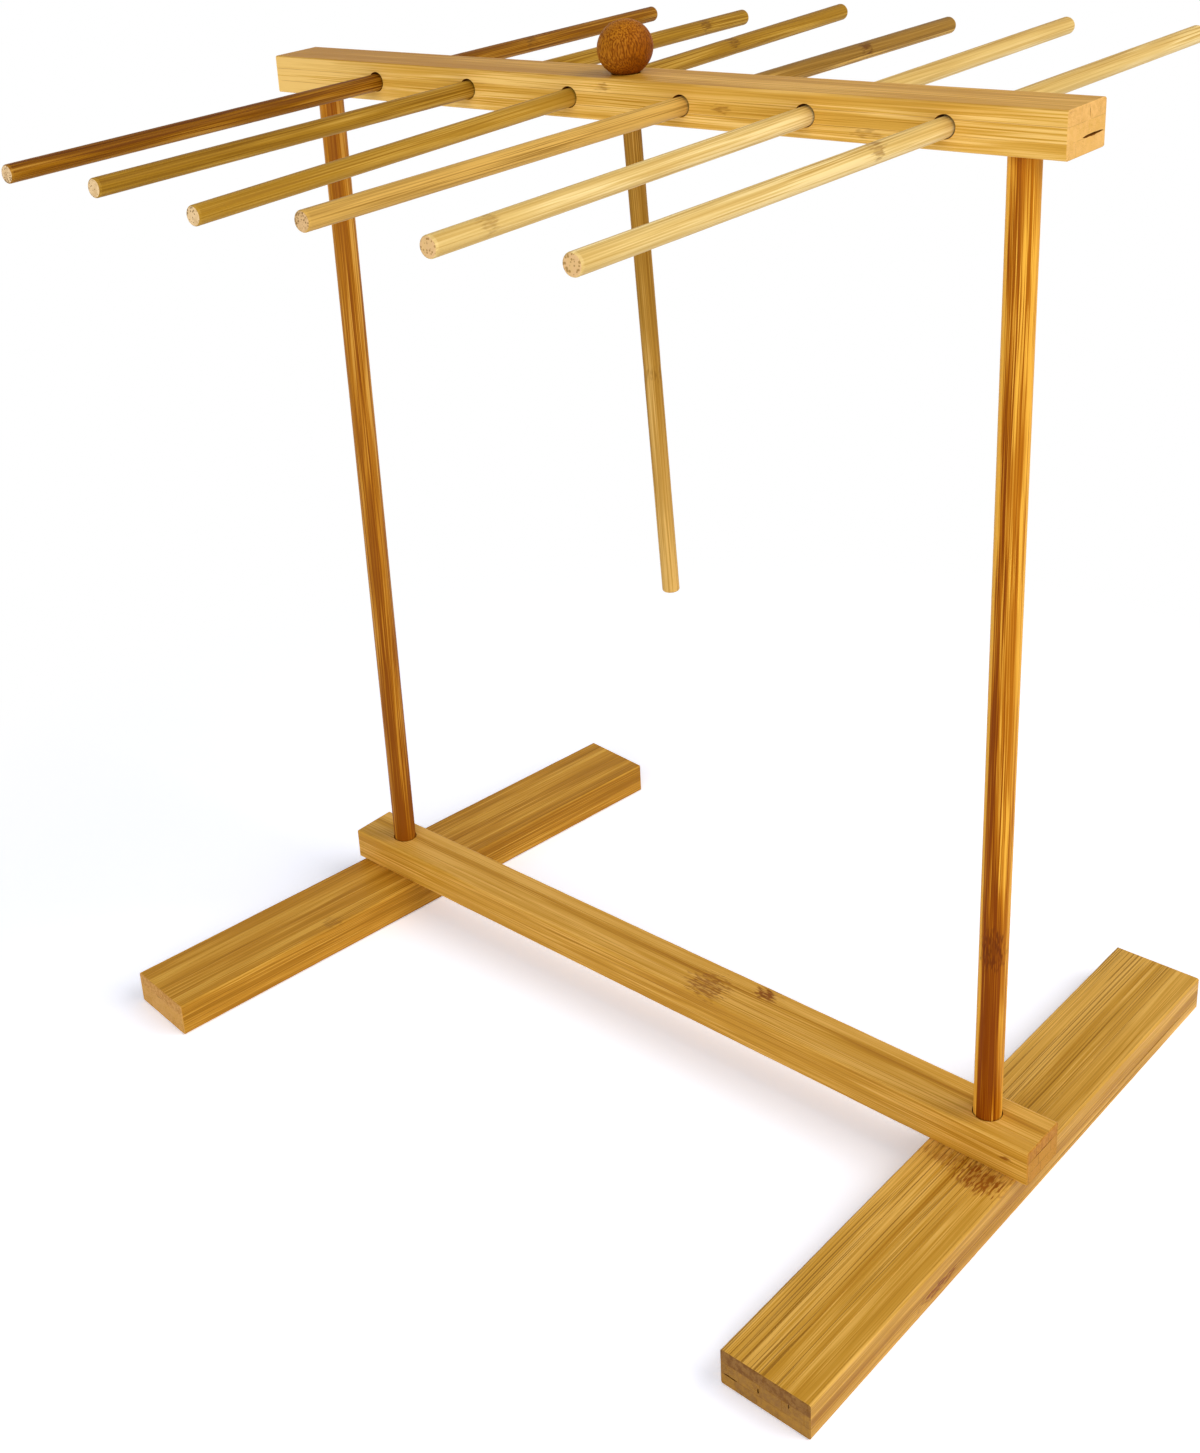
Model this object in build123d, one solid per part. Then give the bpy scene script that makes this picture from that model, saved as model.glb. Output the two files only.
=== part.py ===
from build123d import *
import math
import os

# A knock-down bamboo drying rack for fresh pasta, in millimetres.
# Origin: on the floor, midway between the two posts. +X runs along the top bar, the drying rods lie
# along Y and +Z is up. It stands as it does in use: the rods are pushed a little towards -Y and two
# of them tip in their loose holes, the wand leans as far as its own hole lets it, and the left foot
# is a little off square on its post.

# Feet
foot_length = 345.0
foot_width = 43.0
foot_thickness = 18.0
foot_socket_depth = 14.0
foot_socket_clearance = 0.08
left_foot_turn_deg = -6.3
right_foot_turn_deg = 0.0

# Base beam, lying on the feet
base_beam_length = 428.0
base_beam_width = 27.0
base_beam_thickness = 18.0
post_inset = 27.0
beam_hole_clearance = 0.35

# Posts
post_length = 480.0
post_diameter = 12.5
post_end_chamfer = 0.8

# Top bar, carried on the posts' ends, which it overhangs
top_bar_overhang = 23.0
top_bar_width = 28.0
top_bar_thickness = 18.0
bar_socket_depth = 12.0
bar_socket_clearance = 0.05

# The boards' long edges are rounded over, the sawn ends only broken
board_edge_round = 0.9
board_end_chamfer = 0.4

# Drying rods, loose in the top bar
rod_count = 6
rod_diameter = 8.0
rod_length = 420.0
rod_to_left_post = 49.0
rod_to_right_post = 25.0
rod_slide_offset = -13.0
rod_end_chamfer = 0.9
rod_hole_clearance = 0.5
rod_seat_gap = 0.2
rod_tip_shares = {3: 1.0, 5: 0.4}

# Transfer wand, hanging by its ball in the top bar
ball_diameter = 24.0
ball_band_count = 16
ball_bore_depth = 14.0
ball_bore_clearance = 0.03
ball_seat_gap = 0.3
wand_diameter = 8.0
wand_length = 253.0
wand_tip_chamfer = 0.9
wand_hole_diameter = 12.0
wand_hole_clearance = 0.35
wand_beside_rod = 21.0

# Cutters run this far past the face they open
overrun = 1.0

# Places that follow from the sizes
post_radius = post_diameter / 2
rod_radius = rod_diameter / 2
wand_radius = wand_diameter / 2
ball_radius = ball_diameter / 2
wand_hole_radius = wand_hole_diameter / 2
beam_top = foot_thickness + base_beam_thickness
post_foot_height = foot_thickness - foot_socket_depth
bar_underside = post_foot_height + post_length - bar_socket_depth
bar_top = bar_underside + top_bar_thickness
rod_hole_height = bar_underside + top_bar_thickness / 2
rod_height = rod_hole_height - (rod_hole_clearance - rod_seat_gap)
post_spacing = base_beam_length - 2 * post_inset
post_places = (-post_spacing / 2, post_spacing / 2)
top_bar_length = post_spacing + 2 * top_bar_overhang
rod_pitch = (post_spacing - rod_to_left_post - rod_to_right_post) / (rod_count - 1)
rod_places = [post_places[0] + rod_to_left_post + index * rod_pitch for index in range(rod_count)]
wand_place = rod_places[rod_count // 2 - 1] + wand_beside_rod

# The ball sits in the mouth of its hole, and the wand swings out from its centre until its side
# is a clearance away from the hole's lower edge
ball_height = bar_top + math.sqrt(ball_radius**2 - wand_hole_radius**2) + ball_seat_gap
wand_swing_depth = ball_height - bar_underside
wand_swing_room = wand_hole_radius - wand_hole_clearance
wand_lean = math.acos(wand_radius / math.hypot(wand_swing_room, wand_swing_depth)) - math.atan2(
    wand_swing_depth, wand_swing_room
)


def board(length, width, thickness):
    """A laminated board lying on the floor along X, with rounded long edges and broken sawn ends."""
    section = RectangleRounded(width, thickness, board_edge_round)
    blank = extrude(Plane.YZ * section, amount=length / 2, both=True)
    sawn_edges = blank.faces().filter_by(Axis.X).edges()
    return Pos(0, 0, thickness / 2) * chamfer(sawn_edges, board_end_chamfer)


def drill(radius, low, high):
    """A cutter for an upright hole on the Z axis, from one height to another."""
    return Pos(0, 0, low) * Cylinder(radius, high - low, align=(Align.CENTER, Align.CENTER, Align.MIN))


def dowel(radius, length, end_chamfer):
    """A round rod standing on the floor along Z, both ends softened."""
    blank = Cylinder(radius, length, align=(Align.CENTER, Align.CENTER, Align.MIN))
    return chamfer(blank.edges().filter_by(GeomType.CIRCLE), end_chamfer)


def foot(place, turn_deg):
    """A foot across one end of the base, turned on the post that stands in its blind socket."""
    plank = Rot(0, 0, 90) * board(foot_length, foot_width, foot_thickness)
    socket = drill(post_radius + foot_socket_clearance, post_foot_height, foot_thickness + overrun)
    return Pos(place, 0, 0) * Rot(0, 0, turn_deg) * (plank - socket)


def base_beam():
    """The beam between the feet, with a through hole over each foot's socket."""
    beam = Pos(0, 0, foot_thickness) * board(base_beam_length, base_beam_width, base_beam_thickness)
    hole = drill(post_radius + beam_hole_clearance, foot_thickness - overrun, beam_top + overrun)
    return beam - [Pos(place, 0, 0) * hole for place in post_places]


def post(place):
    """A post from the foot's socket, up through the beam, into the top bar's socket."""
    return Pos(place, 0, post_foot_height) * dowel(post_radius, post_length, post_end_chamfer)


def top_bar():
    """The top bar: blind post sockets below, a row of rod holes through it and the wand's hole."""
    bar = Pos(0, 0, bar_underside) * board(top_bar_length, top_bar_width, top_bar_thickness)
    socket = drill(post_radius + bar_socket_clearance, bar_underside - overrun, bar_underside + bar_socket_depth)
    rod_hole = Rot(90, 0, 0) * Cylinder(rod_radius + rod_hole_clearance, top_bar_width + 2 * overrun)
    wand_hole = drill(wand_hole_radius, bar_underside - overrun, bar_top + overrun)
    cuts = [Pos(place, 0, 0) * socket for place in post_places]
    cuts += [Pos(place, 0, rod_hole_height) * rod_hole for place in rod_places]
    return bar - cuts - Pos(wand_place, 0, 0) * wand_hole


def drying_rod(place, tip_share):
    """A loose rod on the front rim of its hole, tipped front end down by a share of the hole's slack."""
    slack = 2 * (rod_hole_clearance - rod_seat_gap)
    tip = math.atan2(tip_share * slack, top_bar_width)
    rod = dowel(rod_radius, rod_length, rod_end_chamfer)
    back_end = top_bar_width / 2 + rod_slide_offset + rod_length / 2
    laid = Pos(0, back_end, 0) * Rot(90, 0, 0) * rod
    return Pos(place, -top_bar_width / 2, rod_height) * Rot(math.degrees(tip), 0, 0) * laid


def wand_placed(piece):
    """Carries a wand piece, made round its ball's centre, to its leaning place in the top bar."""
    return Pos(wand_place, 0, ball_height) * Rot(0, -math.degrees(wand_lean), 0) * piece


def wand_rod():
    """The wand's rod, glued into the ball's bore and softened at its tip."""
    rod = dowel(wand_radius, wand_length, wand_tip_chamfer)
    return wand_placed(Pos(0, 0, ball_bore_depth - ball_radius - wand_length) * rod)


def wand_ball():
    """The ball, turned in narrow bands, with the blind bore that the wand's rod is glued into."""
    outline = RegularPolygon(ball_radius, 2 * ball_band_count)
    profile = outline & Rectangle(ball_diameter, ball_diameter, align=(Align.MIN, Align.CENTER))
    turned = revolve(Plane.XZ * profile, Axis.Z)
    bore_end = ball_bore_depth - ball_radius
    bore = drill(wand_radius + ball_bore_clearance, -ball_radius - overrun, bore_end)
    return wand_placed(turned - bore)


pieces = {
    "foot_left": foot(post_places[0], left_foot_turn_deg),
    "foot_right": foot(post_places[1], right_foot_turn_deg),
    "base_beam": base_beam(),
    "post_left": post(post_places[0]),
    "post_right": post(post_places[1]),
    "top_bar": top_bar(),
    "wand_rod": wand_rod(),
    "wand_ball": wand_ball(),
}
for number, place in enumerate(rod_places, start=1):
    pieces[f"drying_rod_{number}"] = drying_rod(place, rod_tip_shares.get(number, 0))

os.makedirs("parts", exist_ok=True)
for name, piece in pieces.items():
    export_step(piece, f"parts/{name}.step")

print(f"wand lean {math.degrees(wand_lean):.2f} deg, ball centre at {ball_height:.2f}, bar top at {bar_top:.1f}")
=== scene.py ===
"""A knock-down bamboo pasta drying rack: laminated boards, dowels and a turned knob, oiled and lightly worn.

Every piece is modelled in millimetres in its own grain frame, X along the grain, and set at its place in
the rack in metres. A board's Y runs across its width and Z through its plies.
"""
import logging
import math
import random
from dataclasses import dataclass
from enum import Enum, IntEnum
from typing import ClassVar

import bmesh
import bpy
from bpy.types import Material, Mesh, Node, NodeSocket, NodeTree, World, bpy_prop_collection
from mathutils import Matrix, Vector


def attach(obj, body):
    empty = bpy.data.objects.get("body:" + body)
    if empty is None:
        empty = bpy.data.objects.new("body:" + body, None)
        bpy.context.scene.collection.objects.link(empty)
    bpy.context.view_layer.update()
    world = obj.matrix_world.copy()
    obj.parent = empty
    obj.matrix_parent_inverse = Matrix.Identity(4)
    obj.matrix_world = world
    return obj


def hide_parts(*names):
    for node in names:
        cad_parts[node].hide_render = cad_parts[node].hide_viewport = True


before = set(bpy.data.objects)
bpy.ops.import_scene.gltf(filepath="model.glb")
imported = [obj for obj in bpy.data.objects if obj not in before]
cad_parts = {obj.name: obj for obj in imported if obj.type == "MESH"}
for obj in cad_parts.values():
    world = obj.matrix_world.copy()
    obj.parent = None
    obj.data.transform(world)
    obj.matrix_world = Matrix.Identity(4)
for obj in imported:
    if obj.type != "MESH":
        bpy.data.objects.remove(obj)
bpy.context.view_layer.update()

MM = 0.001
POST_SPACING = 374.0
PLY_SHIFT = 8.7
EDGE_LAYER = "edge_share"
SHARP_ANGLE = math.radians(32)
WHITE = (1.0,) * 4

Point = tuple[float, float, float]
Colour = tuple[float, float, float, float]
Stops = tuple[tuple[float, float], ...]
log = logging.getLogger("rack")


class Cut(IntEnum):
    """How a face was cut out of the bamboo, which is also its material slot on the piece."""

    LONG = 0
    END = 1
    BORED = 2


class Slot(Enum):
    """The record's material slots."""

    BOARD = "bamboo_board"
    POST = "bamboo_post"
    ROD = "bamboo_rod"
    KNOB = "turned_knob"


def linear(colour: str) -> Colour:
    """Turns a screen colour into the linear one that Blender's shaders use.

    Args:
        colour: The screen colour as #rrggbb.

    Returns:
        Linear red, green and blue, and an alpha of 1.
    """
    shares = [int(colour[start : start + 2], 16) / 255 for start in (1, 3, 5)]
    red, green, blue = (c / 12.92 if c <= 0.04045 else ((c + 0.055) / 1.055) ** 2.4 for c in shares)
    return red, green, blue, 1.0


def cleared(block: Material | World) -> NodeTree:
    """Empties the node tree of a new material or world, and returns it."""
    block.use_nodes = True
    block.node_tree.nodes.clear()
    return block.node_tree


def placed(
    origin: Point | Vector, along: Point | Vector = (1.0, 0.0, 0.0), across: Point = (0.0, 1.0, 0.0)
) -> Matrix:
    """Gives the place of a piece's grain frame in the rack.

    Args:
        origin: The grain frame's origin, in millimetres.
        along: The direction of its X axis.
        across: The direction of its Y axis, made square to X.

    Returns:
        The matrix that takes the piece's metres to the rack's.
    """
    x = Vector(along).normalized()
    z = x.cross(Vector(across)).normalized()
    turned = Matrix((x, z.cross(x), z)).transposed().to_4x4()
    return Matrix.Translation(Vector(origin) * MM) @ turned


# Shader effects


class Bench:
    """Adds and joins the nodes of one material or node group."""

    def __init__(self, tree: NodeTree) -> None:
        """Keeps the tree that the nodes go into."""
        self.tree = tree

    def add(self, kind: str, feeds: dict | None = None, **settings: object) -> Node:
        """Adds a node.

        Args:
            kind: The node's type.
            feeds: Sockets or plain values for its inputs, by name or number.
            settings: The node's own properties.

        Returns:
            The new node.
        """
        node = self.tree.nodes.new(kind)
        for name, value in settings.items():
            setattr(node, name, value)
        for key, value in (feeds or {}).items():
            if isinstance(value, NodeSocket):
                self.tree.links.new(value, node.inputs[key])
            else:
                node.inputs[key].default_value = value
        return node

    def group(self, tree: NodeTree, feeds: dict) -> bpy_prop_collection:
        """Places a shared node group and returns its outputs."""
        return self.add("ShaderNodeGroup", feeds, node_tree=tree).outputs

    def math(self, operation: str, *values: object) -> NodeSocket:
        """Adds a Math node and returns its result."""
        return self.add("ShaderNodeMath", dict(enumerate(values)), operation=operation).outputs[0]

    def times(self, value: object, factor: object, plus: object = 0.0) -> NodeSocket:
        """Multiplies a value by a factor and adds another value."""
        return self.math("MULTIPLY_ADD", value, factor, plus)

    def minus(self, value: object, taken: object) -> NodeSocket:
        """Takes a value from another."""
        return self.math("SUBTRACT", value, taken)

    def axes(self, vector: object) -> bpy_prop_collection:
        """Splits a vector and returns its three values."""
        return self.add("ShaderNodeSeparateXYZ", {0: vector}).outputs

    def vector(self, operation: str, *values: object, output: int = 0) -> NodeSocket:
        """Adds a Vector Math node and returns its vector, or its value as output 1."""
        return self.add("ShaderNodeVectorMath", dict(enumerate(values)), operation=operation).outputs[output]

    def between(self, value: object, low: float, high: float) -> NodeSocket:
        """Maps a value smoothly from 0 at low to 1 at high, where low may be the larger."""
        feeds = {"Value": value, "From Min": low, "From Max": high, "To Min": 0.0, "To Max": 1.0}
        if low > high:
            feeds |= {"From Min": high, "From Max": low, "To Min": 1.0, "To Max": 0.0}
        return self.add("ShaderNodeMapRange", feeds, interpolation_type="SMOOTHSTEP").outputs[0]

    def noise(self, vector: object, stretch: Point, detail: float = 2.0, bend: float = 0.0) -> NodeSocket:
        """Adds noise drawn out along the axes.

        Args:
            vector: The point, in millimetres.
            stretch: How many times the noise changes in a millimetre, along each axis.
            detail: Its octaves.
            bend: Its distortion.

        Returns:
            The noise, about 0.3 to 0.7.
        """
        point = self.vector("MULTIPLY", vector, stretch)
        feeds = {"Vector": point, "Scale": 1.0, "Detail": detail, "Distortion": bend}
        return self.add("ShaderNodeTexNoise", feeds).outputs[0]

    def mix(self, factor: object, first: object, second: object) -> NodeSocket:
        """Mixes two colours and returns the mixed one."""
        return self.add("ShaderNodeMix", {0: factor, 6: first, 7: second}, data_type="RGBA").outputs[2]

    def ramp(self, factor: object, stops: list[tuple[float, Colour]]) -> NodeSocket:
        """Turns a value from 0 to 1 into a colour, by the linear colours at given places."""
        node = self.add("ShaderNodeValToRGB", {0: factor})
        while len(node.color_ramp.elements) < len(stops):
            node.color_ramp.elements.new(1.0)
        for element, (place, colour) in zip(node.color_ramp.elements, stops):
            element.position = place
            element.color = colour
        return node.outputs[0]

    def shades(self, tone: object, spread: float, *colours: str) -> NodeSocket:
        """Turns a tone into a colour, by three screen colours: below, at and above the middle tone."""
        places = (0.5 - spread, 0.5, 0.5 + spread)
        return self.ramp(tone, [(place, linear(colour)) for place, colour in zip(places, colours)])

    def curve(self, factor: object, stops: Stops) -> NodeSocket:
        """Turns a value from 0 to 1 into another, in straight runs between values of at least 0."""
        highest = max(value for _, value in stops)
        greys = [(place, (value / highest,) * 3 + (1.0,)) for place, value in stops]
        return self.times(self.ramp(factor, greys), highest)


class Effects:
    """The node groups that the rack's finishes share. Vectors are in millimetres in the grain frame."""

    def __init__(self) -> None:
        """Builds each group once."""
        self.fibre = self._fibre()
        self.lamination = self._lamination()
        self.node_mark = self._node_mark()
        self.pores = self._pores()
        self.edge_wear_and_highlight = self._edge_wear_and_highlight()

    @staticmethod
    def _start(name: str, inputs: dict, outputs: tuple[str, ...]) -> tuple[Bench, dict, dict]:
        """Starts a node group.

        Args:
            name: The group's name.
            inputs: Its inputs' names and first values.
            outputs: Its outputs' names.

        Returns:
            The bench, the sockets that give the inputs, and the sockets that take the outputs.
        """
        tree = bpy.data.node_groups.new(name, "ShaderNodeTree")
        for label, value in inputs.items():
            kind = "NodeSocketVector" if isinstance(value, tuple) else "NodeSocketFloat"
            tree.interface.new_socket(name=label, in_out="INPUT", socket_type=kind).default_value = value
        for label in outputs:
            tree.interface.new_socket(name=label, in_out="OUTPUT", socket_type="NodeSocketFloat")
        bench = Bench(tree)
        given = bench.add("NodeGroupInput").outputs
        taken = bench.add("NodeGroupOutput").inputs
        return bench, given, taken

    def _fibre(self) -> NodeTree:
        """Builds the long fibres: soft bands, fine streaks, hairlines and open grooves."""
        bench, given, taken = self._start(
            "bamboo_fibre",
            {"Vector": (0.0, 0.0, 0.0), "Seed": 0.0, "Strip": 0.0, "Grooves": 0.5},
            ("Tone", "Groove", "Height"),
        )
        shift = bench.times(given["Strip"], 61.0, given["Seed"])
        moved = bench.add("ShaderNodeCombineXYZ", {0: bench.times(shift, 37.0), 1: shift, 2: shift})
        point = bench.vector("ADD", given["Vector"], moved.outputs[0])
        swing = bench.times(bench.noise(point, (0.006, 0.03, 0.03), 1.0), 2.0)
        swung = bench.add("ShaderNodeCombineXYZ", {0: 0.0, 1: swing, 2: swing})
        point = bench.vector("ADD", point, swung.outputs[0])
        bands = bench.between(bench.noise(point, (0.0016, 0.13, 0.13), 2.0), 0.35, 0.65)
        fine = bench.between(bench.noise(point, (0.007, 0.9, 0.9), 1.0), 0.34, 0.66)
        hair = bench.between(bench.noise(point, (0.018, 1.9, 1.9), 1.0), 0.36, 0.64)
        lines = bench.between(bench.noise(point, (0.005, 1.6, 1.6), 1.0), 0.44, 0.37)
        patch = bench.noise(point, (0.002, 0.08, 0.08), 1.0)
        patch = bench.between(bench.math("ADD", patch, bench.minus(given["Grooves"], 0.5)), 0.42, 0.6)
        groove = bench.times(lines, patch)
        mottle = bench.between(bench.noise(point, (0.012, 0.14, 0.14), 2.0), 0.38, 0.62)
        streaks = bench.times(fine, 0.26, bench.times(hair, 0.44))
        strength = bench.times(mottle, 0.9, 0.45)
        streaks = bench.times(bench.minus(streaks, 0.35), strength)
        tone = bench.times(bands, 0.24, streaks)
        tone = bench.math("ADD", bench.times(mottle, 0.2, tone), 0.28)
        bench.tree.links.new(tone, taken["Tone"])
        bench.tree.links.new(groove, taken["Groove"])
        relief = bench.times(fine, 0.3, bench.times(hair, 0.3))
        bench.tree.links.new(bench.minus(relief, groove), taken["Height"])
        return bench.tree

    def _lamination(self) -> NodeTree:
        """Builds the strips and plies that a board is glued up from, and the glue lines between them."""
        bench, given, taken = self._start(
            "glued_lamination",
            {"Vector": (0.0, 0.0, 0.0), "Seed": 0.0, "Strip Width": 20.0, "Strip Offset": 0.0, "Ply": 6.0},
            ("Strip", "Seam"),
        )
        axes = bench.axes(given["Vector"])
        level = bench.math("FLOOR", bench.math("ADD", bench.math("DIVIDE", axes[2], given["Ply"]), 0.5))
        level = bench.math("MINIMUM", bench.math("MAXIMUM", level, -1.0), 1.0)
        offset = bench.times(bench.minus(1.0, level), PLY_SHIFT, given["Strip Offset"])
        place = bench.math("DIVIDE", bench.math("ADD", axes[1], offset), given["Strip Width"])
        number = bench.add("ShaderNodeCombineXYZ", {0: bench.math("FLOOR", place), 1: level, 2: given["Seed"]})
        strip = bench.add("ShaderNodeTexWhiteNoise", {"Vector": number.outputs[0]}, noise_dimensions="3D")
        bench.tree.links.new(strip.outputs["Value"], taken["Strip"])
        share = bench.math("FRACT", bench.math("ADD", place, 0.5))
        to_seam = bench.math("ABSOLUTE", bench.minus(share, 0.5))
        to_seam = bench.times(to_seam, given["Strip Width"])
        half_ply = bench.times(given["Ply"], 0.5)
        to_ply = bench.math("ABSOLUTE", bench.minus(bench.math("ABSOLUTE", axes[2]), half_ply))
        seam = bench.between(bench.math("MINIMUM", to_seam, to_ply), 0.26, 0.1)
        broken = bench.between(bench.noise(given["Vector"], (0.03, 0.2, 0.2), 2.0), 0.36, 0.55)
        bench.tree.links.new(bench.times(seam, broken), taken["Seam"])
        return bench.tree

    def _node_mark(self) -> NodeTree:
        """Builds the mark of a culm node: a darker patch of short scruffy dashes across the grain."""
        bench, given, taken = self._start(
            "culm_node",
            {"Vector": (0.0, 0.0, 0.0), "Centre": (0.0, 0.0, 0.0), "Reach": (6.0, 10.0, 10.0)},
            ("Mark",),
        )
        away = bench.vector("SUBTRACT", given["Vector"], given["Centre"])
        away = bench.vector("LENGTH", bench.vector("DIVIDE", away, given["Reach"]), output=1)
        dashes = bench.noise(given["Vector"], (0.24, 1.15, 1.15), 1.0, 0.2)
        ragged = bench.times(bench.minus(dashes, 0.5), 2.0, away)
        patch = bench.between(ragged, 1.15, 0.35)
        strokes = bench.times(bench.between(dashes, 0.56, 0.42), 0.5, 0.5)
        bench.tree.links.new(bench.times(patch, strokes), taken["Mark"])
        return bench.tree

    def _pores(self) -> NodeTree:
        """Builds cut fibre bundles on an end face: close dark dots, denser towards the culm's skin."""
        bench, given, taken = self._start(
            "cut_bundles", {"Vector": (0.0, 0.0, 0.0), "Seed": 0.0, "Spacing": 0.62}, ("Dots", "Tone")
        )
        point = bench.vector("ADD", given["Vector"], given["Seed"])
        cells = bench.vector("DIVIDE", bench.vector("MULTIPLY", point, (0.3, 1.0, 1.0)), given["Spacing"])
        bundles = bench.add("ShaderNodeTexVoronoi", {"Vector": cells, "Scale": 1.0, "Randomness": 0.8})
        size = bench.times(bench.noise(point, (0.1, 0.16, 0.16), 1.0), 0.7)
        dots = bench.minus(size, bundles.outputs["Distance"])
        bench.tree.links.new(bench.between(dots, -0.06, 0.1), taken["Dots"])
        bench.tree.links.new(bench.between(bench.noise(point, (0.1, 0.5, 0.5), 3.0), 0.35, 0.65), taken["Tone"])
        return bench.tree

    def _edge_wear_and_highlight(self) -> NodeTree:
        """Builds the lighter eased edges, partly rubbing and partly a painted highlight, from the piece's own
        edge_share values.
        """
        bench, given, taken = self._start("edge_wear_and_highlight", {"Vector": (0.0, 0.0, 0.0), "Edge": 0.0}, ("Wear And Highlight",))
        rubbed = bench.between(bench.noise(given["Vector"], (0.03, 0.4, 0.4), 3.0), 0.38, 0.6)
        full = bench.between(given["Edge"], 0.2, 0.9)
        share = bench.times(rubbed, 0.7, 0.3)
        bench.tree.links.new(bench.times(full, share), taken["Wear And Highlight"])
        return bench.tree


# Finishes


def start_material(name: str) -> tuple[Material, Bench, NodeSocket]:
    """Starts a material, and returns it, its bench and the point in millimetres in the grain frame."""
    material = bpy.data.materials.new(name)
    bench = Bench(cleared(material))
    grain_frame = bench.add("ShaderNodeTexCoord").outputs["Object"]
    return material, bench, bench.vector("MULTIPLY", grain_frame, (1 / MM,) * 3)


def close_material(
    bench: Bench, colour: object, rough: object, height: object, depth: float, sheen: float
) -> None:
    """Joins colour, roughness and relief to a material's surface.

    Args:
        bench: The material's bench.
        colour: The colour socket.
        rough: The roughness socket.
        height: The relief socket, 0 to 1.
        depth: How deep a relief of 1 is, in millimetres.
        sheen: How much the surface mirrors, 0 to 1.
    """
    bump = bench.add("ShaderNodeBump", {"Height": height, "Distance": depth * MM, "Strength": 1.0})
    feeds = {"Base Color": colour, "Roughness": rough, "Normal": bump.outputs[0]}
    shader = bench.add("ShaderNodeBsdfPrincipled", feeds | {"Specular IOR Level": sheen})
    bench.add("ShaderNodeOutputMaterial", {"Surface": shader.outputs[0]})


@dataclass(frozen=True)
class CulmNode:
    """One culm node left in a strip, in its piece's grain frame in millimetres."""

    centre: Point
    reach: Point
    strength: float


@dataclass(frozen=True)
class Fade:
    """A tone added along a stick, from one share of its half length to another, or only above a height, where it is
    painted shade on a board's top face.
    """

    begins: float
    full: float
    added: float
    above: float | None = None


@dataclass(frozen=True)
class Palette:
    """The screen colours of one stick or board of bamboo."""

    dark: str
    middle: str
    light: str
    groove: str
    node: str
    end: str
    skin: str
    bored: str = "#4d2b0b"


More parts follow.
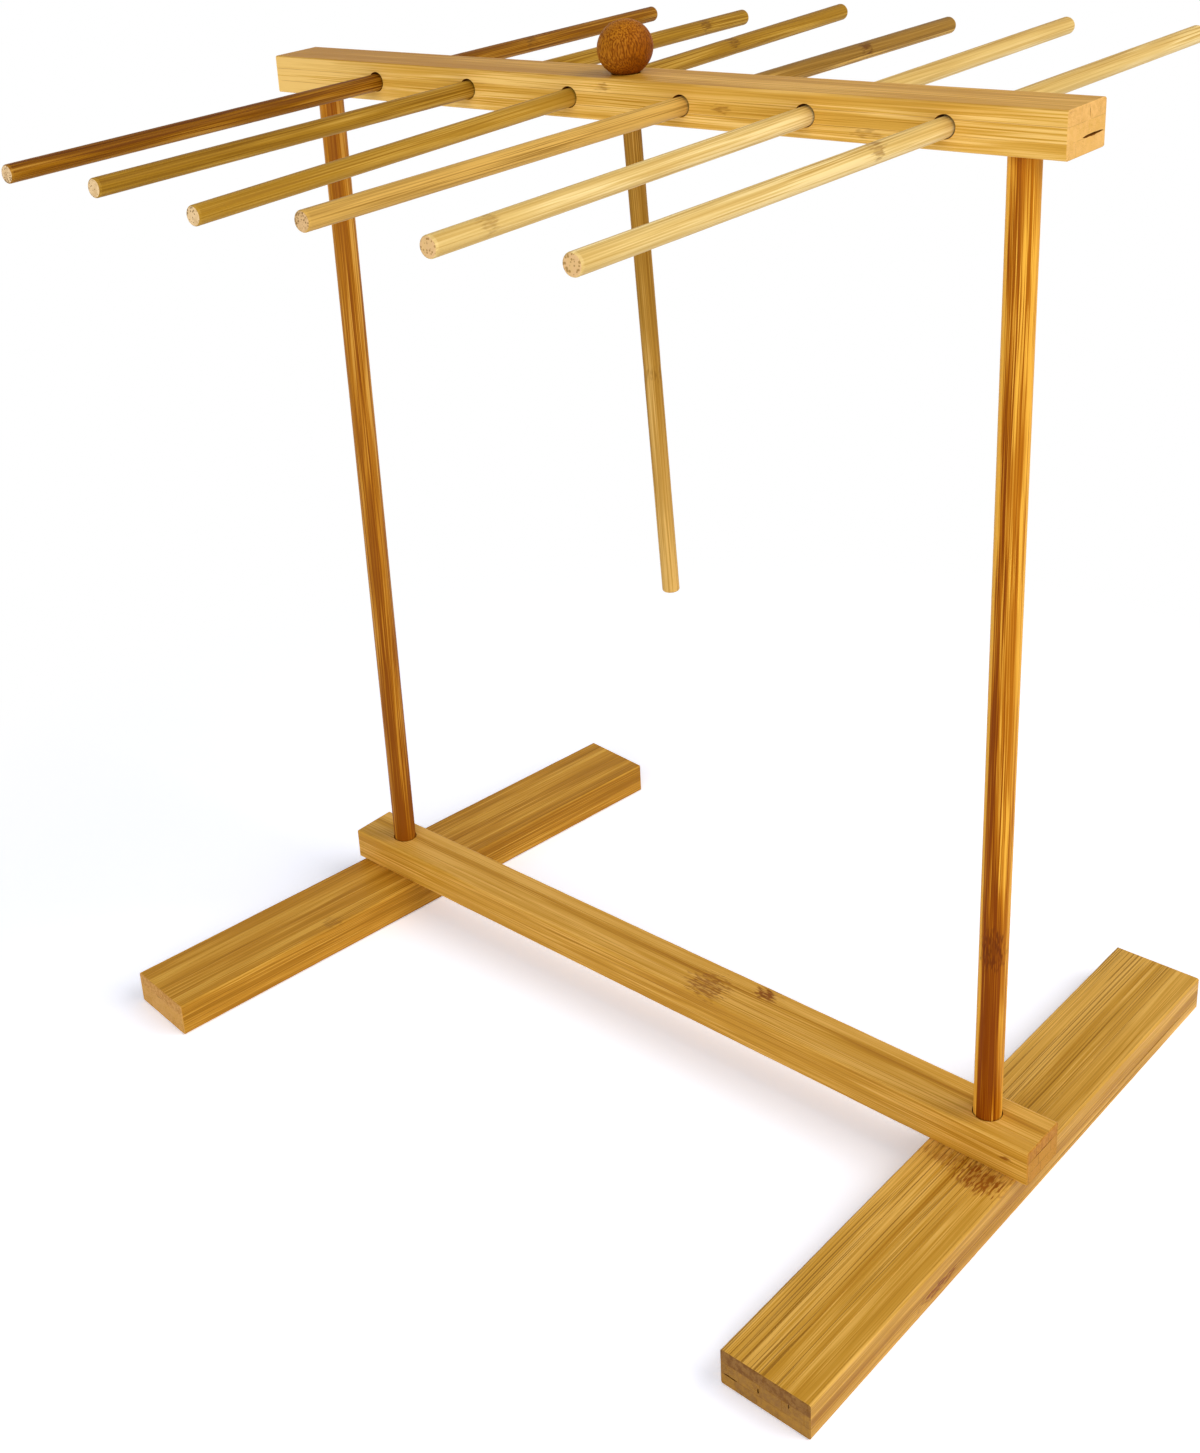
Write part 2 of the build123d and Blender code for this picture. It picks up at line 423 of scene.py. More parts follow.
@dataclass(frozen=True)
class Bamboo:
    """Oiled bamboo: its colours, how it was glued up, and where its culm nodes lie.

    Tones run from 0, the palette's dark, over 0.5 to 1, its light. The tones across a board are given at
    places in millimetres along its Y, and round a dowel at angles in degrees from Y towards Z. Round the
    rods and the right post these tones are partly painted light and shade. Where open_grain is given, it
    says in the same way how open the grain is, instead of grooves.
    """

    name: str
    palette: Palette
    seed: float
    grooves: float = 0.3
    strip_width: float = 0.0
    strip_offset: float = 0.0
    ply: float = 6.0
    roughness: float = 0.46
    sheen: float = 0.12
    grain_contrast: float = 0.5
    strip_contrast: float = 0.14
    groove_strength: float = 0.62
    seam_strength: float = 0.3
    wear_and_highlight_strength: float = 0.35
    skin_strength: float = 0.85
    grain_depth: float = 0.08
    dot_depth: float = 0.05
    across: Stops = ((-180.0, 0.5), (180.0, 0.5))
    open_grain: Stops = ()
    end_seam: float = 0.4
    end_dots: float = 0.3
    bundle_spacing: float = 0.62
    middle_ply: float = 0.0
    fades: tuple[Fade, ...] = ()
    half_length: float = 210.0
    nodes: tuple[CulmNode, ...] = ()

    def materials(self, effects: Effects) -> list[Material]:
        """Builds the material of each kind of cut, in the order of Cut."""
        return [self._long(effects), self._end(effects), self._bored(effects)]

    def _strips(self, bench: Bench, effects: Effects, point: object) -> tuple[object, object]:
        """Adds the board's lamination.

        Args:
            bench: The material's bench.
            effects: The shared groups.
            point: The point in millimetres.

        Returns:
            Each strip's own value and the glue lines, or two plain numbers for a solid dowel.
        """
        if not self.strip_width:
            return 0.5, 0.0
        feeds = {
            "Vector": point,
            "Seed": self.seed,
            "Strip Width": self.strip_width,
            "Strip Offset": self.strip_offset,
            "Ply": self.ply,
        }
        glued = bench.group(effects.lamination, feeds)
        return glued["Strip"], glued["Seam"]

    def _run(self, bench: Bench, point: object, stops: tuple[tuple[float, float], ...]) -> NodeSocket:
        """Reads a run of values across a board or round a dowel.

        Args:
            bench: The material's bench.
            point: The point in millimetres.
            stops: Places, as across has them, and the values there.

        Returns:
            The value at the point.
        """
        axes = bench.axes(point)
        place = axes[1]
        if not self.strip_width:
            place = bench.times(bench.math("ARCTAN2", axes[2], axes[1]), 180 / math.pi)
            ragged = bench.noise(point, (0.003, 0.5, 0.5), 2.0)
            place = bench.times(bench.minus(ragged, 0.5), 40.0, place)
        first, last = stops[0][0], stops[-1][0]
        share = bench.math("DIVIDE", bench.minus(place, first), last - first)
        return bench.curve(share, tuple(((at - first) / (last - first), value) for at, value in stops))

    def _tone(self, bench: Bench, point: object) -> NodeSocket:
        """Adds the stick's tones: across or round it, in its middle ply and along it. Those round the rods and the
        right post, and the fades on the top bar's top face, are partly painted light and shade.

        Args:
            bench: The material's bench.
            point: The point in millimetres.

        Returns:
            The tone, about 0 to 1.
        """
        axes = bench.axes(point)
        tone = self._run(bench, point, self.across)
        if self.middle_ply:
            inside = bench.between(bench.math("ABSOLUTE", axes[2]), self.ply / 2 - 0.4, self.ply / 2 - 1.5)
            tone = bench.times(inside, self.middle_ply, tone)
        for fade in self.fades:
            share = bench.between(axes[0], fade.begins * self.half_length, fade.full * self.half_length)
            # A fade above a height darkens only the top face: painted shade.
            if fade.above is not None:
                share = bench.times(share, bench.between(axes[2], fade.above, fade.above + 0.4))
            tone = bench.times(share, fade.added, tone)
        return tone

    def _long(self, effects: Effects) -> Material:
        """Builds the faces that run with the grain."""
        material, bench, point = start_material(f"{self.name}_long_grain")
        strip, seam = self._strips(bench, effects, point)
        grooves = self._run(bench, point, self.open_grain) if self.open_grain else self.grooves
        feeds = {"Vector": point, "Seed": self.seed, "Strip": strip, "Grooves": grooves}
        fibre = bench.group(effects.fibre, feeds)
        grain = bench.times(bench.minus(fibre["Tone"], 0.5), self.grain_contrast)
        tone = bench.math("ADD", self._tone(bench, point), grain)
        if self.strip_width:
            tone = bench.times(bench.minus(strip, 0.5), self.strip_contrast, tone)
        paint = self.palette
        colour = bench.shades(tone, 0.42, paint.dark, paint.middle, paint.light)
        colour = bench.mix(bench.times(fibre["Groove"], self.groove_strength), colour, linear(paint.groove))
        relief = fibre["Height"]
        for node in self.nodes:
            feeds = {"Vector": point, "Centre": node.centre, "Reach": node.reach}
            mark = bench.group(effects.node_mark, feeds)["Mark"]
            colour = bench.mix(bench.times(mark, node.strength), colour, linear(paint.node))
            relief = bench.minus(relief, mark)
        if self.strip_width:
            colour = bench.mix(bench.times(seam, self.seam_strength), colour, linear(paint.groove))
        edge = bench.add("ShaderNodeAttribute", attribute_name=EDGE_LAYER).outputs["Fac"]
        wear_and_highlight = bench.group(effects.edge_wear_and_highlight, {"Vector": point, "Edge": edge})["Wear And Highlight"]
        # Eased edges made lighter: partly real rubbing, partly a painted highlight along the edges.
        colour = bench.mix(bench.times(wear_and_highlight, self.wear_and_highlight_strength), colour, linear(paint.light))
        rough = bench.times(fibre["Groove"], 0.2, self.roughness)
        rough = bench.times(wear_and_highlight, -0.08, rough)
        close_material(bench, colour, rough, relief, self.grain_depth, self.sheen)
        return material

    def _end(self, effects: Effects) -> Material:
        """Builds the sawn end faces: cut fibre bundles as dots, the browner skin side on top."""
        material, bench, point = start_material(f"{self.name}_end_grain")
        strip, seam = self._strips(bench, effects, point)
        feeds = {"Vector": point, "Seed": self.seed, "Spacing": self.bundle_spacing}
        pores = bench.group(effects.pores, feeds)
        paint = self.palette
        tone = bench.times(pores["Tone"], 0.25, bench.times(strip, 0.25))
        colour = bench.mix(tone, linear(paint.end), linear(paint.middle))
        if self.strip_width:
            top = bench.between(bench.axes(point)[2], self.ply / 2 - 0.3, self.ply / 2 + 0.3)
            browner = bench.mix(pores["Tone"], linear(paint.skin), linear(paint.end))
            colour = bench.mix(bench.times(top, self.skin_strength), colour, browner)
            colour = bench.mix(bench.times(seam, self.end_seam), colour, linear(paint.groove))
        colour = bench.mix(bench.times(pores["Dots"], self.end_dots), colour, linear(paint.groove))
        rough = bench.times(pores["Dots"], 0.15, self.roughness + 0.16)
        close_material(bench, colour, rough, bench.minus(1.0, pores["Dots"]), self.dot_depth, self.sheen)
        return material

    def _bored(self, effects: Effects) -> Material:
        """Builds the walls of drilled holes and glue gaps: darker, rougher and scored by the bit."""
        material, bench, point = start_material(f"{self.name}_bored_wall")
        fibre = bench.group(effects.fibre, {"Vector": point, "Seed": self.seed, "Grooves": 0.4})
        scoring = bench.noise(point, (1.3, 1.3, 1.3), 2.0)
        colour = bench.mix(fibre["Tone"], linear(self.palette.bored), linear(self.palette.groove))
        rough = bench.times(scoring, 0.25, 0.55)
        relief = bench.math("ADD", scoring, fibre["Height"])
        close_material(bench, colour, rough, relief, self.grain_depth, self.sheen)
        return material


@dataclass(frozen=True)
class TurnedKnob:
    """A reddish ball turned on the lathe, with short dark fibre dashes that the cutter left, and painted light that
    makes one side paler.
    """

    name: str = "knob"
    dark: str = "#854606"
    middle: str = "#9b560a"
    light: str = "#b57218"
    dash: str = "#6b3806"
    roughness: float = 0.5
    sheen: float = 0.05
    # The direction towards which painted light makes the ball paler.
    painted_light_side: Point = (0.6, -0.5, 0.6)

    def materials(self, effects: Effects) -> list[Material]:
        """Builds the material of each kind of cut, in the order of Cut, with more dashes in the socket."""
        return [self._surface("turned", 0.5), self._surface("end", 0.5), self._surface("socket", 1.0)]

    def _surface(self, suffix: str, dashes: float) -> Material:
        """Builds the turned surface.

        Args:
            suffix: What the material's name adds to the finish's.
            dashes: How strongly the dashes show.

        Returns:
            The material.
        """
        material, bench, point = start_material(f"{self.name}_{suffix}")
        # Painted light: the tone rises towards one side of the ball, on top of broad random patches.
        side = bench.vector("DOT_PRODUCT", point, self.painted_light_side, output=1)
        patches_and_painted_light = bench.times(bench.noise(point, (0.1, 0.3, 0.3)), 12.0, side)
        patches_and_painted_light = bench.between(patches_and_painted_light, -4.0, 16.0)
        fine = bench.noise(point, (0.38, 1.9, 1.9), 1.0, 0.35)
        cut = bench.between(fine, 0.5, 0.38)
        streaks = bench.between(fine, 0.35, 0.65)
        tone = bench.times(streaks, 0.5, bench.times(patches_and_painted_light, 0.5))
        colour = bench.shades(tone, 0.38, self.dark, self.middle, self.light)
        colour = bench.mix(bench.times(cut, dashes), colour, linear(self.dash))
        rings = bench.noise(point, (1.6, 0.02, 0.02), 1.0)
        relief = bench.times(rings, 0.25, bench.minus(1.0, cut))
        rough = bench.times(cut, 0.2, self.roughness)
        close_material(bench, colour, rough, relief, 0.12, self.sheen)
        return material


# Meshes


@dataclass
class Ring:
    """One closed ring of points across a piece, in millimetres, with how eased each point's edge is."""

    points: list[Point]
    edges: list[float]
    cut: Cut = Cut.LONG


def loft(name: str, rings: list[Ring]) -> Mesh:
    """Skins rings into one closed mesh, capped at both ends.

    Args:
        name: The mesh's name.
        rings: Rings with as many points each. The faces up to a ring take its cut, and the last cap too.

    Returns:
        The mesh, in metres, with an edge_share value at each point.
    """
    shell = bmesh.new()
    share = shell.verts.layers.float.new(EDGE_LAYER)
    rows = []
    for ring in rings:
        row = [shell.verts.new(Vector(point) * MM) for point in ring.points]
        for vertex, edge in zip(row, ring.edges):
            vertex[share] = edge
        rows.append(row)
    for ring, low, high in zip(rings[1:], rows, rows[1:]):
        for i, here in enumerate(low):
            j = (i + 1) % len(low)
            shell.faces.new((here, low[j], high[j], high[i])).material_index = ring.cut
    shell.faces.new(rows[0][::-1]).material_index = rings[0].cut
    shell.faces.new(rows[-1]).material_index = rings[-1].cut
    bmesh.ops.recalc_face_normals(shell, faces=shell.faces)
    mesh = bpy.data.meshes.new(name)
    shell.to_mesh(mesh)
    shell.free()
    for _ in Cut:
        mesh.materials.append(None)
    return mesh


def soften(mesh: Mesh) -> None:
    """Shades a mesh smoothly up to its sharp edges."""
    mesh.polygons.foreach_set("use_smooth", [True] * len(mesh.polygons))
    mesh.set_sharp_from_angle(angle=SHARP_ANGLE)


def carved(mesh: Mesh, cutters: list[Mesh]) -> Mesh:
    """Cuts closed cutter meshes out of a mesh.

    Args:
        mesh: The blank.
        cutters: The cutters, clear of each other, in the blank's frame.

    Returns:
        The carved mesh, with the cutters' walls as bored faces.
    """
    if not cutters:
        return mesh
    joined = bmesh.new()
    for cutter in cutters:
        joined.from_mesh(cutter)
        bpy.data.meshes.remove(cutter)
    tool_mesh = bpy.data.meshes.new("cutters")
    joined.to_mesh(tool_mesh)
    joined.free()
    blank = bpy.data.objects.new("blank", mesh)
    tool = bpy.data.objects.new("tool", tool_mesh)
    for _ in Cut:
        tool_mesh.materials.append(None)
    for thing in (blank, tool):
        bpy.context.scene.collection.objects.link(thing)
    cut = blank.modifiers.new("cut", "BOOLEAN")
    cut.operation = "DIFFERENCE"
    cut.solver = "MANIFOLD"
    cut.object = tool
    bpy.context.view_layer.update()
    made = bpy.data.meshes.new_from_object(blank.evaluated_get(bpy.context.evaluated_depsgraph_get()))
    for thing in (blank, tool):
        bpy.data.objects.remove(thing)
    bpy.data.meshes.remove(tool_mesh)
    bpy.data.meshes.remove(mesh)
    return made


def circle(
    radius: float, height: float, sides: int, cut: Cut = Cut.LONG, edge: float = 0.0, upright: bool = False
) -> Ring:
    """Draws a round ring.

    Args:
        radius: The ring's radius.
        height: Its place along the axis.
        sides: How many points it has.
        cut: The cut of the faces that lead to it.
        edge: How eased its edge is.
        upright: Whether the axis is Z instead of X.

    Returns:
        The ring.
    """
    turns = [2 * math.pi * side / sides for side in range(sides)]
    around = [(radius * math.cos(turn), radius * math.sin(turn)) for turn in turns]
    points = [(a, b, height) if upright else (height, a, b) for a, b in around]
    return Ring(points, [edge] * sides, cut)


def stations(reach: float, spacing: float) -> list[float]:
    """Spaces places evenly from -reach to reach, about a spacing apart."""
    count = max(2, round(2 * reach / spacing))
    return [-reach + 2 * reach * i / count for i in range(count + 1)]


@dataclass(frozen=True)
class Drilling:
    """A hole drilled in a board: where it goes in, where it ends, its radius and its eased mouths."""

    start: Point
    end: Point
    radius: float
    through: bool = True
    ease: float = 0.35
    sides: int = 64

    def cutter(self) -> Mesh:
        """Builds the bit: a cylinder that flares where it enters a face."""
        start, end = Vector(self.start), Vector(self.end)
        depth = (end - start).length
        past = 1.0
        profile = [(-past, self.radius + self.ease + past), (self.ease, self.radius)]
        if self.through:
            profile += [(depth - self.ease, self.radius), (depth + past, self.radius + self.ease + past)]
        else:
            profile += [(depth, self.radius)]
        rings = [circle(radius, height, self.sides, Cut.BORED, upright=True) for height, radius in profile]
        mesh = loft("bit", rings)
        turn = (end - start).to_track_quat("Z", "Y").to_matrix().to_4x4()
        mesh.transform(Matrix.Translation(start * MM) @ turn)
        return mesh


@dataclass(frozen=True)
class GlueGap:
    """A short open slit in an end face where two strips didn't quite meet."""

    centre: Point
    length: float
    opening: float
    depth: float
    upright: bool = False
    seed: int = 1

    def cutter(self) -> Mesh:
        """Builds the slit's wedge: a ragged lens, wide at the face and narrow inside."""
        draw = random.Random(self.seed)
        x, y, z = self.centre
        inward = -1.0 if x > 0 else 1.0
        steps = 9
        outline = []
        for side in (1, -1):
            for step in range(steps):
                share = step / steps if side > 0 else 1 - step / steps
                bulge = math.sin(math.pi * share) ** 0.7 * draw.uniform(0.55, 1.0) + 0.06
                outline.append(((share - 0.5) * self.length, side * bulge * self.opening / 2))
        rings = []
        for reach, width in ((-0.6, 1.0), (0.15, 1.0), (self.depth, 0.3)):
            points = [(x + inward * reach, y + a, z + b * width) for a, b in outline]
            if self.upright:
                points = [(x + inward * reach, y + b * width, z + a) for a, b in outline]
            rings.append(Ring(points, [0.0] * len(points), Cut.BORED))
        return loft("gap", rings)


# Pieces


class Piece:
    """One piece of the rack, made in its grain frame for a CAD node, which it replaces."""

    node: str
    body: str
    place: Matrix
    finish: Bamboo | TurnedKnob
    slot: Slot
    kind: str

    def mesh(self) -> Mesh:
        """Builds the piece's mesh."""
        raise NotImplementedError

    def build(self, effects: Effects) -> None:
        """Builds and dresses the piece, and sets it in the rack."""
        mesh = self.mesh()
        for cut, material in zip(Cut, self.finish.materials(effects)):
            mesh.materials[cut] = material
        soften(mesh)
        piece = bpy.data.objects.new(f"{self.node}_{self.kind}", mesh)
        bpy.context.scene.collection.objects.link(piece)
        piece.matrix_world = self.place
        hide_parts(self.node)
        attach(piece, self.body)
        log.info("%s: %d faces, rides on %s", piece.name, len(mesh.polygons), self.body)


@dataclass
class Board(Piece):
    """A board glued up from bamboo strips in three plies, with rounded long edges and sawn ends."""

    node: str
    body: str
    length: float
    width: float
    thickness: float
    place: Matrix
    finish: Bamboo
    drillings: tuple[Drilling, ...] = ()
    gaps: tuple[GlueGap, ...] = ()
    edge_round: float = 0.9
    end_chamfer: float = 0.4
    edge_steps: int = 5
    support: float = 0.55
    seam_width: float = 0.16
    seam_depth: float = 0.1
    station: float = 7.0
    rub: float = 0.07
    seed: int = 1
    kind: ClassVar[str] = "board"
    slot: ClassVar[Slot] = Slot.BOARD

    def _seams(self, level: int) -> list[float]:
        """Finds where strips meet across the width.

        Args:
            level: The ply, -1 at the bottom to 1 at the top.

        Returns:
            The seams' places that are clear of the board's edges.
        """
        finish = self.finish
        offset = finish.strip_offset + (1 - level) * PLY_SHIFT
        clear = self.width / 2 - self.edge_round - self.support - 1.0
        first = math.ceil((-self.width / 2 + offset) / finish.strip_width)
        places = [(first + i) * finish.strip_width - offset for i in range(4)]
        return [place for place in places if abs(place) < clear]

    def _run(self, half: float, seams: list[float]) -> list[tuple[float, float]]:
        """Lists places along one face of the section, and how deep the surface lies there.

        Args:
            half: Half the flat's length.
            seams: Where glue lines notch it.

        Returns:
            Pairs of place and depth, from -half to half.
        """
        run = [(-half, 0.0), (-half + self.support, 0.0)]
        for seam in sorted(seams):
            spread = self.seam_width / 2
            run += [(seam - spread * 3, 0.0), (seam - spread, 0.0), (seam, self.seam_depth)]
            run += [(seam + spread, 0.0), (seam + spread * 3, 0.0)]
        return run + [(half - self.support, 0.0), (half, 0.0)]

    def _section(self, x: float, inset: float, rubbed: tuple[float, ...], edge: float | None, cut: Cut) -> Ring:
        """Draws the board's section.

        Args:
            x: Where it is along the grain.
            inset: How far it lies inside the full section.
            rubbed: How far each of the four long edges is rubbed back here.
            edge: The edge value of the whole ring, or None to ease only the long edges.
            cut: The cut of the faces that lead to it.

        Returns:
            The section's ring.
        """
        half_y, half_z = self.width / 2 - inset, self.thickness / 2 - inset
        radius = max(self.edge_round - inset, 0.12)
        ply_seams = [self.finish.ply / 2, -self.finish.ply / 2]
        faces = (
            ((1, 0), (0, 1), half_y, self.thickness / 2 - self.edge_round, ply_seams),
            ((0, 1), (-1, 0), half_z, self.width / 2 - self.edge_round, [-s for s in self._seams(1)]),
            ((-1, 0), (0, -1), half_y, self.thickness / 2 - self.edge_round, ply_seams),
            ((0, -1), (1, 0), half_z, self.width / 2 - self.edge_round, self._seams(-1)),
        )
        ring = Ring([], [], cut)
        for number, (out, on, reach, half, seams) in enumerate(faces):
            for place, depth in self._run(half, seams):
                y = out[0] * (reach - depth) + on[0] * place
                z = out[1] * (reach - depth) + on[1] * place
                ring.points.append((x, y, z))
                ring.edges.append(0.0 if edge is None else edge)
            centre = (out[0] * (reach - radius) + on[0] * half, out[1] * (reach - radius) + on[1] * half)
            for step in range(1, self.edge_steps):
                turn = math.pi / 2 * step / self.edge_steps
                reach_out = radius * math.cos(turn) - rubbed[number] * math.sin(2 * turn)
                reach_on = radius * math.sin(turn) - rubbed[number] * math.sin(2 * turn)
                y = centre[0] + out[0] * reach_out + on[0] * reach_on
                z = centre[1] + out[1] * reach_out + on[1] * reach_on
                ring.points.append((x, y, z))
                ring.edges.append(1.0 if edge is None else edge)
        return ring

    def blank(self) -> Mesh:
        """Builds the board before it is drilled."""
        draw = random.Random(self.seed)
        half, chamfer, support = self.length / 2, self.end_chamfer, self.support
        none = (0.0, 0.0, 0.0, 0.0)
        rings = [
            self._section(-half, chamfer + support, none, 0.0, Cut.END),
            self._section(-half, chamfer, none, 0.6, Cut.END),
            self._section(-half + chamfer, 0.0, none, 0.6, Cut.END),
        ]
        for x in stations(half - chamfer - support, self.station):
            rings.append(self._section(x, 0.0, tuple(draw.uniform(0, self.rub) for _ in none), None, Cut.LONG))
        rings += [
            self._section(half - chamfer, 0.0, none, 0.6, Cut.LONG),
            self._section(half, chamfer, none, 0.6, Cut.END),
            self._section(half, chamfer + support, none, 0.0, Cut.END),
        ]
        return loft(self.node, rings)

    def mesh(self) -> Mesh:
        """Builds the board, drilled and with its glue gaps."""
        return carved(self.blank(), [cut.cutter() for cut in self.drillings + self.gaps])


@dataclass
class Dowel(Piece):
    """A round bamboo stick with softened ends, slightly proud and pinched at its culm nodes."""

    node: str
    body: str
    length: float
    radius: float
    place: Matrix
    finish: Bamboo
    slot: Slot
    end_round: float = 1.0
    end_steps: int = 5
    end_taper: float = 0.9
    sawn_turns: tuple[float, float] = (0.9, 0.6)
    cap_shares: tuple[float, float] = (0.3, 0.62)
    support: float = 0.6
    sides: int = 64
    station: float = 6.0
    wander: float = 0.025
    seed: int = 1
    kind: ClassVar[str] = "dowel"

    def _radius_at(self, x: float, draw: random.Random) -> float:
        """Gives the radius along the stick, a little under its full size."""
        radius = self.radius - draw.uniform(0.0, self.wander)
        for culm in self.finish.nodes:
            away = (x - culm.centre[0]) / 2.2
            radius -= 0.07 * math.exp(-((away - 0.7) ** 2)) - 0.03 * math.exp(-((away + 0.7) ** 2))
        return min(radius, self.radius)

    def mesh(self) -> Mesh:
        """Builds the stick from end to end, its middle at the origin."""
        draw = random.Random(self.seed)
        half, soft, sides = self.length / 2, self.end_round, self.sides
        profile = []
        for step in range(self.end_steps + 1):
            turn = math.pi / 2 * step / self.end_steps
            radius = self.radius - soft * (1 - math.cos(turn)) * self.end_taper
            profile.append((soft * (1 - math.sin(turn)), radius, turn))
        caps = [share * self.radius for share in self.cap_shares]
        start_turn, last_turn = self.sawn_turns
        rings = [circle(radius, -half, sides, Cut.END) for radius in caps]
        for depth, radius, turn in profile[::-1]:
            rings.append(circle(radius, -half + depth, sides, Cut.END if turn > start_turn else Cut.LONG, 1.0))
        for x in stations(half - soft - self.support, self.station):
            rings.append(circle(self._radius_at(x, draw), x, sides))
        for depth, radius, turn in profile:
            rings.append(circle(radius, half - depth, sides, Cut.END if turn > last_turn else Cut.LONG, 1.0))
        rings += [circle(radius, half, sides, Cut.END) for radius in caps[::-1]]
        return loft(self.node, rings)


@dataclass
class Knob(Piece):
    """The wand's turned ball, bored for its rod, with faint lathe rings."""

    node: str
    body: str
    radius: float
    bore_radius: float
    bore_depth: float
    place: Matrix
    finish: TurnedKnob
    mouth_ease: float = 0.25
    mouth_lip: float = 0.3
    top_gap: float = 0.03
    sides: int = 96
    bands: int = 64
    ring_depth: float = 0.02
    kind: ClassVar[str] = "turned"
    slot: ClassVar[Slot] = Slot.KNOB

    def mesh(self) -> Mesh:
        """Builds the ball round its centre, the bore opening towards -X."""
        floor = self.bore_depth - self.radius
        mouth_radius = self.bore_radius + self.mouth_ease
        lip = self.mouth_lip - math.sqrt(self.radius**2 - mouth_radius**2)
        bore = ((self.bore_radius * 0.5, floor), (self.bore_radius, floor), (self.bore_radius, lip))
        rings = [circle(radius, height, self.sides, Cut.BORED) for radius, height in bore]
        mouth_turn, top_turn = math.asin(mouth_radius / self.radius), math.pi - self.top_gap
        for band in range(self.bands + 1):
            turn = mouth_turn + (top_turn - mouth_turn) * band / self.bands
            radius = self.radius - self.ring_depth * (0.5 + 0.5 * math.sin(band * 2.1) * math.sin(band * 0.37))
            rings.append(circle(radius * math.sin(turn), -radius * math.cos(turn), self.sides))
        return loft(self.node, rings)


# The rack

